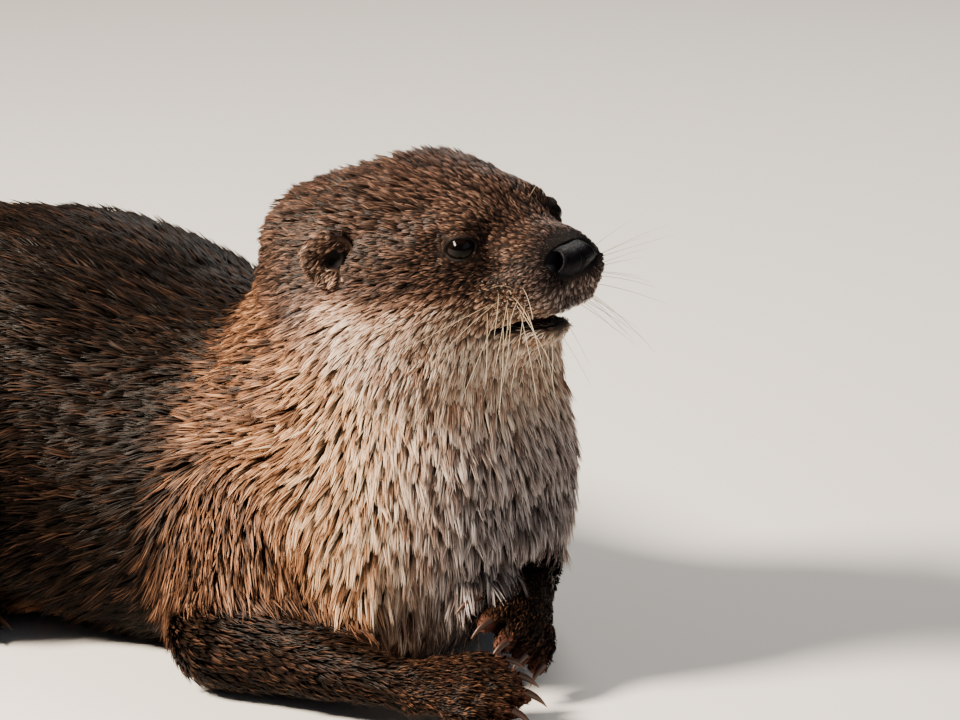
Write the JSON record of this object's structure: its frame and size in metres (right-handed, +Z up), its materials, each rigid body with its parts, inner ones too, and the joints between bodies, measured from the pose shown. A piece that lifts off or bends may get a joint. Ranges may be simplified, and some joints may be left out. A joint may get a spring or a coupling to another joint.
{
  "type": "river otter",
  "caption": "Still life-size river otter crouching on its belly, neck drawn up, head level, forepaws together and tail laid on the floor.",
  "frame": {"origin": "on the floor, under the middle of the animal's bounding box", "axes": "+X the way the animal faces, +Y to its left, +Z up"},
  "size_m": [0.7704, 0.343, 0.1985],
  "materials": {
    "coat": "short dense fur, wet and clumped, dark brown above and pale on the throat",
    "nose_pad": "bare damp skin",
    "eye": "wet and glossy",
    "claw": "smooth horn"
  },
  "bodies": {
    "root": {"nose": "nose_pad", "eye_right": "eye", "ear_right": "coat", "eye_left": "eye", "ear_left": "coat", "head": "coat", "jaw": "coat", "neck": "coat", "chest": "coat", "loin": "coat", "rump": "coat", "tail_root": "coat", "tail_middle": "coat", "tail_end": "coat", "arm_right": "coat", "forearm_right": "coat", "claw_forepaw_right_1": "claw", "claw_forepaw_right_2": "claw", "claw_forepaw_right_3": "claw", "claw_forepaw_right_4": "claw", "claw_forepaw_right_5": "claw", "forepaw_right": "coat", "thigh_right": "coat", "shank_right": "coat", "claw_hindpaw_right_1": "claw", "claw_hindpaw_right_2": "claw", "claw_hindpaw_right_3": "claw", "claw_hindpaw_right_4": "claw", "claw_hindpaw_right_5": "claw", "hindpaw_right": "coat", "arm_left": "coat", "forearm_left": "coat", "claw_forepaw_left_1": "claw", "claw_forepaw_left_2": "claw", "claw_forepaw_left_3": "claw", "claw_forepaw_left_4": "claw", "claw_forepaw_left_5": "claw", "forepaw_left": "coat", "thigh_left": "coat", "shank_left": "coat", "claw_hindpaw_left_1": "claw", "claw_hindpaw_left_2": "claw", "claw_hindpaw_left_3": "claw", "claw_hindpaw_left_4": "claw", "claw_hindpaw_left_5": "claw", "hindpaw_left": "coat"}
  },
  "joints": []
}
